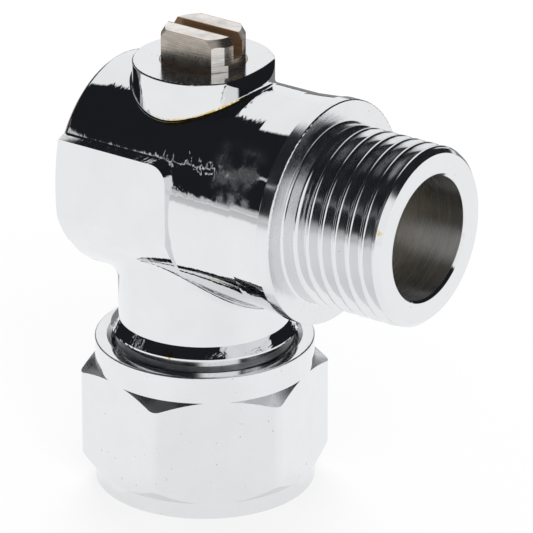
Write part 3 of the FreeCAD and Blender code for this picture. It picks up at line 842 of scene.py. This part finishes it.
def lean_ledge(points, faces, normals):
    """Leans the normals on the ledge of the pad outwards, as on an edge softened by polishing."""
    x, y, z = points[faces].mean(1).T
    ledge = (x < PAD_REACH + LEDGE_MARGIN) & (y < LEDGE_SIDE) & (normals[:, :, 2].min(1) > LEDGE_LEVEL)
    ledge &= np.abs(z - OUTLET_HEIGHT - PAD_RISE) < LEDGE_BAND
    leaning = normals[ledge] + (0.0, -LEDGE_LEAN, 0.0)
    normals[ledge] = leaning / np.linalg.norm(leaning, axis=2)[:, :, None]


def body_materials(colours):
    """Forged skin, outlet thread, upright turned faces, bores and the shoulder face."""
    on_outlet = {"centre": CROSSING, "turn": ALONG_OUTLET}
    return [
        forged_plate(colours),
        turned_plate("turned_plate_outlet", colours, roughness=0.09, depth=3e-6,
                     nick=OUTLET_NICK, **on_outlet),
        turned_plate("turned_plate_upright", colours, roughness=0.09, depth=3e-6),
        bore_metal(colours),
        turned_plate("faced_plate_outlet", colours, roughness=0.16, depth=2.6e-5,
                     lines=2500.0, **on_outlet),
    ]


def body_slots(centres, leaning, shoulder_reach):
    """Material of each face of the body, in the order of body_materials."""
    x, z = centres[:, 0], centres[:, 2]
    beside_outlet = off_axis(centres, "X")
    beside_inlet = off_axis(centres, "Z")
    slots = np.zeros(len(centres))
    slots[(x > TURNED_END) & (beside_outlet > OUTLET_MOUTH_RADIUS + HAIR)] = 1
    slots[z > BOSS_TOP - HAIR / 2] = 2
    slots[(z < COLLAR_FOOT) & (beside_inlet > INLET_MOUTH_RADIUS)] = 2
    slots[(np.abs(x - shoulder_reach) < HAIR) & (leaning[:, 0] > NEARLY_SQUARE)] = 4
    inside = (beside_outlet < OUTLET_BORE_LIMIT) & (x > CHAMBER_BACK)
    inside |= (beside_inlet < INLET_MOUTH_RADIUS) & (z < INLET_BORE_TOP)
    inside |= (beside_inlet < SPINDLE_BORE_LIMIT) & (z < BOSS_TOP - HAIR) & (z > SPINDLE_BORE_FOOT)
    slots[inside] = 3
    return slots


class VALVE_OT_make_body(Operator):
    """Plated body with the outlet and inlet threads cut into it"""
    bl_idname = "valve.make_body"
    bl_label = "Plated body"

    def execute(self, context):
        sizes = context.scene.valve_threads
        materials = body_materials(context.scene.valve_finishes)
        points, faces, normals = cad_surface("valve_body")
        draft_pad(points)
        lean_ledge(points, faces, normals)
        outlet = points[:, 0] > sizes.shoulder_reach - TOUCH
        outlet &= off_axis(points, "X") > OUTLET_MOUTH_RADIUS - TOUCH
        faces, normals, outlet_border = split_off(faces, normals, outlet)
        inlet = points[:, 2] < COLLAR_FOOT + TOUCH
        inlet &= off_axis(points, "Z") > INLET_MOUTH_RADIUS - TOUCH
        faces, normals, inlet_border = split_off(faces, normals, inlet)
        skin = Skin(points, faces, normals)

        sleeve = cut_thread(
            sizes, materials[1], sizes.outlet_reach - sizes.shoulder_reach,
            (sizes.shoulder_reach, 0.0, OUTLET_HEIGHT), ALONG_OUTLET,
            Start=sizes.outlet_start, Plain=sizes.outlet_plain, End_Fade=sizes.outlet_fade,
            Lead=sizes.outlet_lead, Root_Round=sizes.root_round)
        joints = ((sizes.shoulder_reach, sizes.shoulder_reach, True),
                  (sizes.outlet_reach, sizes.outlet_reach, False))
        skin.join_sleeve(outlet_border, sleeve, "X", joints, lambda point: (1.0, 0.0, 0.0))

        sleeve = cut_thread(
            sizes, materials[2], sizes.inlet_top - sizes.inlet_mouth,
            (0.0, 0.0, sizes.inlet_top), UPSIDE_DOWN, sizes.hidden_rows,
            Plain=sizes.inlet_plain, End_Fade=sizes.inlet_lead, Lead=sizes.inlet_lead)
        joints = ((COLLAR_FOOT, sizes.inlet_top, True), (sizes.inlet_mouth, sizes.inlet_mouth, False))
        skin.join_sleeve(inlet_border, sleeve, "DOWN", joints, lambda point: (0.0, 0.0, -1.0))

        piece = skin.to_object(
            "plated_body", materials,
            lambda centres, leaning: body_slots(centres, leaning, sizes.shoulder_reach))
        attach(piece, "body")
        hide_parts("valve_body")
        return {"FINISHED"}


# Nut


def slope_foot(points, faces, normals):
    """Slopes the upper edge of the round foot where it stands out past the middle of a flat."""
    sector = 2.0 * math.pi / NUT_FLATS
    turn = np.arctan2(points[:, 1], points[:, 0]) - NUT_FLAT_ANGLE
    turn = (turn + sector / 2) % sector - sector / 2
    edge = np.abs(off_axis(points, "Z") - NUT_FOOT_RADIUS) < TOUCH
    edge &= np.abs(points[:, 2] - NUT_FOOT_TOP) < TOUCH
    stands_out = np.maximum(NUT_FOOT_RADIUS - NUT_FLAT_DISTANCE / np.cos(turn), 0.0)
    points[edge, 2] -= NUT_FOOT_SLOPE * stands_out[edge]
    first, second, third = (points[faces[:, corner]] for corner in range(3))
    facing = np.cross(second - first, third - first)
    facing /= np.linalg.norm(facing, axis=1)[:, None] + TINY
    centres = points[faces].mean(1)
    ledge = (facing[:, 2] > NUT_LEDGE_LEVEL) & (off_axis(centres, "Z") > NUT_LEDGE_START)
    ledge &= centres[:, 2] < NUT_FOOT_TOP + TOUCH
    normals[ledge] = facing[ledge][:, None, :]


def nut_slots(centres, leaning):
    """Material of each face of the nut: plate, bore or chamfer."""
    z, up = centres[:, 2], leaning[:, 2]
    beside = off_axis(centres, "Z")
    slots = np.zeros(len(centres))
    slots[(beside < NUT_BORE_LIMIT) & (z > HAIR) & (z < NUT_MIDDLE)] = 1
    not_level = (up < SQUARE) & (z > NUT_MIDDLE)
    slots[not_level & (up > NUT_CHAMFER_LEVEL) & (beside > NUT_CORNER_START)] = 2
    slots[not_level & (beside < NUT_RIM_LIMIT)] = 2
    return slots


def cone_normal(point):
    """Inward and upward normal on the cone inside the nut."""
    radius = math.hypot(point[0], point[1]) * math.sqrt(2.0)
    return (-point[0] / radius, -point[1] / radius, math.sqrt(0.5))


class VALVE_OT_make_nut(Operator):
    """Plated compression nut with its inside thread"""
    bl_idname = "valve.make_nut"
    bl_label = "Plated nut"

    def execute(self, context):
        sizes = context.scene.valve_threads
        colours = context.scene.valve_finishes
        materials = [
            turned_plate("nut_plate", colours, roughness=0.04, depth=1.2e-6),
            plain_metal("nut_bore", colours.brass, roughness=0.25),
            turned_plate("nut_chamfer", colours, roughness=0.24, depth=4e-6),
        ]
        points, faces, normals = cad_surface("compression_nut")
        inside = (points[:, 2] < NUT_RELIEF_FOOT + TOUCH) & (points[:, 2] > NUT_HOLE_TOP - TOUCH)
        inside &= off_axis(points, "Z") < NUT_RELIEF_RADIUS + TOUCH
        faces, normals, border = split_off(faces, normals, inside)
        slope_foot(points, faces, normals)
        skin = Skin(points, faces, normals)
        sleeve = cut_thread(
            sizes, materials[1], sizes.nut_top - sizes.nut_foot,
            (0.0, 0.0, sizes.nut_top), UPSIDE_DOWN, sizes.hidden_rows,
            Crest_Radius=sizes.crest_radius + sizes.clearance, Start=sizes.inlet_top - sizes.nut_top,
            End_Fade=sizes.run_out, Inward=True)
        joints = ((NUT_HOLE_TOP, sizes.nut_foot, False), (NUT_RELIEF_FOOT, sizes.nut_top, True))
        skin.join_sleeve(border, sleeve, "UP", joints, cone_normal)
        piece = skin.to_object("plated_nut", materials, nut_slots)
        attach(piece, "nut")
        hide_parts("compression_nut")
        return {"FINISHED"}


# Spindle


def spindle_slots(centres, leaning):
    """Material of each face of the spindle: flat, edge, top, slot or step."""
    y, z = centres[:, 1], centres[:, 2]
    upward = np.abs(leaning[:, 2])
    reach = (centres * leaning)[:, :2].sum(1)
    off_corner = np.abs(np.abs(leaning[:, :2]) - CORNER_FLAT_LEAN).sum(1)
    above_boss = z > BOSS_TOP
    slots = np.zeros(len(centres))
    slots[(z > SPINDLE_TOP - TOUCH) & (leaning[:, 2] > SQUARE)] = 2
    corner_flat = (off_corner < CORNER_MATCH) & (upward < CORNER_MATCH) & (reach < STEP_REACH)
    slots[above_boss & corner_flat] = 2
    in_slot = (np.abs(y) < SCREW_SLOT_HALF + TOUCH) & (z < SPINDLE_TOP - TOUCH)
    slots[above_boss & in_slot & (np.abs(leaning[:, 0]) < SLOT_WALL_LEAN)] = 3
    slots[(np.abs(z - BOSS_TOP) < STEP_RISE) & (reach > STEP_REACH) & (upward < STEP_WALL_LEAN)] = 4
    return slots


class VALVE_OT_make_spindle(Operator):
    """Milled spindle with its worn edges"""
    bl_idname = "valve.make_spindle"
    bl_label = "Milled spindle"

    def execute(self, context):
        colours = context.scene.valve_finishes
        materials = [
            milled_metal("milled_flat", colours.spindle),
            plain_metal("spindle_edge", colours.spindle_edge, roughness=0.4, lines=4000.0, metallic=0.5),
            milled_metal("milled_top", colours.spindle_top, edge=colours.spindle_edge),
            milled_metal("stained_slot", colours.spindle_slot, metallic=0.3),
            # Painted shade: the step by the boss takes a darker copy of the flats' colour
            milled_metal("painted_shade_step", shade(colours.spindle, 0.4), metallic=0.85),
        ]
        piece = Skin(*cad_surface("spindle")).to_object("milled_spindle", materials, spindle_slots)
        bevel = piece.modifiers.new("Worn edges", "BEVEL")
        bevel.width = WORN_EDGE
        bevel.segments = 2
        bevel.limit_method = "ANGLE"
        bevel.angle_limit = WORN_EDGE_ANGLE
        bevel.material = 1
        bevel.harden_normals = True
        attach(piece, "stem")
        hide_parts("spindle")
        return {"FINISHED"}


class VALVE_OT_finish_inside(Operator):
    """Ball, seats, retainer, washer, seals and olive"""
    bl_idname = "valve.finish_inside"
    bl_label = "Inner pieces"

    def execute(self, context):
        colours = context.scene.valve_finishes
        repaint(plain_metal("ball_chrome", colours.plate, roughness=0.06), "ball")
        repaint(moulded("seat_plastic", colours.seat, roughness=0.38),
                "outlet_seat_ring", "back_seat_ring", "thrust_washer")
        repaint(plain_metal("retainer_nickel", colours.retainer, roughness=0.22), "seat_retainer")
        repaint(plain_metal("bare_brass", colours.brass, roughness=0.22), "olive")
        repaint(moulded("seal_rubber", colours.rubber, roughness=0.5),
                "spindle_o_ring_upper", "spindle_o_ring_lower")
        return {"FINISHED"}


# Studio. Only mirrors see the dimmer parts of the floor and the lights in the room. The floor's
# numbers are metres, and the room's are parts of a direction. Two numbers are the start and end of
# an edge, and four are the start, full, fade and end of a band.
FLOOR_HALF = 3.0
FLOOR_GLOW = 0.82
DIM_FAR = (0.3, 0.45)
DIM_FAR_SHARE = 0.4
DIM_FAR_SIDE = (-0.05, 0.2)
DIM_EDGE_SLANT = -0.547
DIM_EDGE = (0.05, 0.065)
DIM_EDGE_SIDE = (0.03, 0.055)
SWEEP_SIDE = (0.1, 0.6)
SWEEP_HEIGHT = (0.045, 0.165)
SWEEP_SOFT = 0.05
BACK_BOX_SLANT = -2.3
BACK_BOX_TURN = -0.58
BACK_BOX_EDGE = (1.4, 1.45)
BACK_BOX_ACROSS = (-0.8, -0.72, -0.24, -0.16)
BACK_BOX_TOP = (0.86, 0.9)
RIGHT_BOX_ACROSS = (0.36, 0.56)
RIGHT_BOX_FRONT = (-0.2, -0.1)
RIGHT_BOX_TOP = (0.62, 0.72)
STRIP_UP = (0.46, 0.475, 0.485, 0.5)
STRIP_ACROSS = (-0.3, -0.2)
STRIP_FRONT = (-0.4, -0.3)
HORIZON_ACROSS = (0.1, 0.5)
HORIZON_FRONT = (-0.1, 0.1)
HORIZON_UP = (-0.02, 0.02)
HORIZON_SHADE = 0.6
# Name, place, width and power
LAMPS = (
    ("lamp_back_left", (-0.35, 0.45, 0.55), 0.5, 4.5),
    ("lamp_front_right", (0.45, -0.35, 0.45), 0.4, 2.0),
)


def mix_shader(wires, factor, first, second):
    made = wires.node("ShaderNodeMixShader")
    for socket, value in zip(made.inputs, (factor, first, second)):
        wires.link(value, socket)
    return made.outputs[0]


def background(wires, seen):
    """Background shader with a colour, or with the socket of one."""
    made = wires.node("ShaderNodeBackground")
    wires.feed(made.inputs["Color"], seen if isinstance(seen, bpy.types.NodeSocket) else (*seen, 1.0))
    return made.outputs[0]


class VALVE_OT_make_stage(Operator):
    """Floor, surroundings, lamps and camera"""
    bl_idname = "valve.make_stage"
    bl_label = "Studio"

    def execute(self, context):
        scene = context.scene
        studio = scene.valve_studio
        self.make_floor(scene, studio)
        self.make_world(scene, studio)
        self.make_lamps(scene)
        self.make_camera(scene, studio)
        scene.view_settings.view_transform = "Standard"
        return {"FINISHED"}

    def make_floor(self, scene, studio):
        corners = [(x * FLOOR_HALF, y * FLOOR_HALF, 0.0) for x, y in ((-1, -1), (1, -1), (1, 1), (-1, 1))]
        mesh = bpy.data.meshes.new("floor")
        mesh.from_pydata(corners, [], [(0, 1, 2, 3)])
        floor = bpy.data.objects.new("floor", mesh)
        scene.collection.objects.link(floor)
        material, wires, shader = new_material("pale_floor")
        place = object_place(wires)
        tint = mix_colour(wires, noise(wires, place, scale=40.0), shade(studio.floor, 0.99), studio.floor)
        wires.link(tint, shader.inputs["Base Color"])
        shader.inputs["Roughness"].default_value = 0.9
        x, y, z = wires.separate(place)
        far = wires.product(wires.ramp(wires.hypotenuse(x, y), *DIM_FAR, 0.0, DIM_FAR_SHARE),
                            wires.fall(x, *DIM_FAR_SIDE))
        edge = wires.product(wires.ramp(wires.math("MULTIPLY_ADD", x, DIM_EDGE_SLANT, y), *DIM_EDGE),
                             wires.fall(x, *DIM_EDGE_SIDE))
        seen = wires.node("ShaderNodeLightPath").outputs
        dim = wires.product(seen["Is Glossy Ray"], wires.most(far, edge))
        glow = wires.node("ShaderNodeEmission")
        wires.link(mix_colour(wires, dim, studio.floor, studio.ceiling), glow.inputs["Color"])
        direct = wires.most(seen["Is Glossy Ray"], seen["Is Transmission Ray"], seen["Is Camera Ray"])
        mixed = mix_shader(
            wires, wires.product(direct, FLOOR_GLOW), shader.outputs["BSDF"], glow.outputs[0])
        output = next(node for node in material.node_tree.nodes if node.type == "OUTPUT_MATERIAL")
        wires.link(mixed, output.inputs["Surface"])
        mesh.materials.append(material)

    def make_world(self, scene, studio):
        world = bpy.data.worlds.new("studio")
        world.use_nodes = True
        world.node_tree.nodes.clear()
        scene.world = world
        wires = Wiring(world.node_tree)
        x, y, z = wires.separate(wires.node("ShaderNodeTexCoord").outputs["Generated"])
        sweep_top = wires.ramp(x, *SWEEP_SIDE, *SWEEP_HEIGHT)
        above_sweep = wires.ramp(z, sweep_top, wires.math("ADD", sweep_top, SWEEP_SOFT))
        slanted = wires.math("MULTIPLY_ADD", wires.math("MAXIMUM", x, BACK_BOX_TURN), BACK_BOX_SLANT, y)
        back_box = wires.product(wires.ramp(slanted, *BACK_BOX_EDGE), wires.band(x, *BACK_BOX_ACROSS),
                                 wires.fall(z, *BACK_BOX_TOP))
        right_box = wires.product(wires.ramp(x, *RIGHT_BOX_ACROSS), wires.fall(y, *RIGHT_BOX_FRONT),
                                  wires.fall(z, *RIGHT_BOX_TOP))
        strip = wires.product(wires.band(z, *STRIP_UP), wires.fall(x, *STRIP_ACROSS),
                              wires.fall(y, *STRIP_FRONT))
        lit = wires.most(back_box, right_box, strip)
        dark = wires.product(above_sweep, wires.math("SUBTRACT", 1.0, lit))
        horizon = wires.product(wires.fall(x, *HORIZON_ACROSS), wires.fall(y, *HORIZON_FRONT),
                                wires.ramp(z, *HORIZON_UP))
        pale = mix_colour(wires, horizon, studio.floor, shade(studio.floor, HORIZON_SHADE))
        room = background(wires, mix_colour(wires, dark, pale, studio.ceiling))
        seen = wires.node("ShaderNodeLightPath").outputs
        in_mirror = wires.most(seen["Is Glossy Ray"], seen["Is Transmission Ray"])
        lighting = mix_shader(wires, in_mirror, background(wires, studio.fill), room)
        shown = mix_shader(wires, seen["Is Camera Ray"], lighting, background(wires, studio.backdrop))
        wires.link(shown, wires.node("ShaderNodeOutputWorld").inputs["Surface"])

    def make_lamps(self, scene):
        for name, place, width, power in LAMPS:
            data = bpy.data.lights.new(name, "AREA")
            data.size = width
            data.energy = power
            lamp = bpy.data.objects.new(name, data)
            lamp.location = place
            lamp.rotation_euler = (Vector(place) - CROSSING).to_track_quat("Z", "Y").to_euler()
            lamp.visible_glossy = False
            scene.collection.objects.link(lamp)

    def make_camera(self, scene, studio):
        level = math.cos(studio.elevation)
        right = Vector((math.cos(studio.azimuth), math.sin(studio.azimuth), 0.0))
        back = Vector((right.y * level, -right.x * level, math.sin(studio.elevation)))
        up = back.cross(right)
        data = bpy.data.cameras.new("camera")
        data.sensor_width = 36.0
        data.lens = studio.lens
        data.clip_start = 0.01
        data.clip_end = 20.0
        camera = bpy.data.objects.new("camera", data)
        camera.location = CROSSING + back * studio.distance + right * studio.across + up * studio.above
        camera.rotation_euler = Matrix((right, up, back)).transposed().to_euler()
        scene.collection.objects.link(camera)
        scene.camera = camera


class VALVE_PT_panel(Panel):
    """Lists the pieces of the valve"""
    bl_idname = "VALVE_PT_panel"
    bl_label = "Isolating valve"
    bl_space_type = "VIEW_3D"
    bl_region_type = "UI"
    bl_category = "Valve"

    def draw(self, context):
        for operator in OPERATORS:
            self.layout.operator(operator.bl_idname)


GROUPS = (
    ("valve_threads", ThreadSizes),
    ("valve_finishes", FinishColours),
    ("valve_studio", StudioSettings),
)
OPERATORS = (
    VALVE_OT_make_stage,
    VALVE_OT_make_body,
    VALVE_OT_make_nut,
    VALVE_OT_make_spindle,
    VALVE_OT_finish_inside,
)


def register():
    for name, group in GROUPS:
        bpy.utils.register_class(group)
        setattr(bpy.types.Scene, name, PointerProperty(type=group))
    for kind in (*OPERATORS, VALVE_PT_panel):
        bpy.utils.register_class(kind)


def unregister():
    for kind in reversed((*OPERATORS, VALVE_PT_panel)):
        bpy.utils.unregister_class(kind)
    for name, group in reversed(GROUPS):
        delattr(bpy.types.Scene, name)
        bpy.utils.unregister_class(group)


def main():
    register()
    bpy.ops.valve.make_stage()
    bpy.ops.valve.make_body()
    bpy.ops.valve.make_nut()
    bpy.ops.valve.make_spindle()
    bpy.ops.valve.finish_inside()


if __name__ == "__main__":
    main()
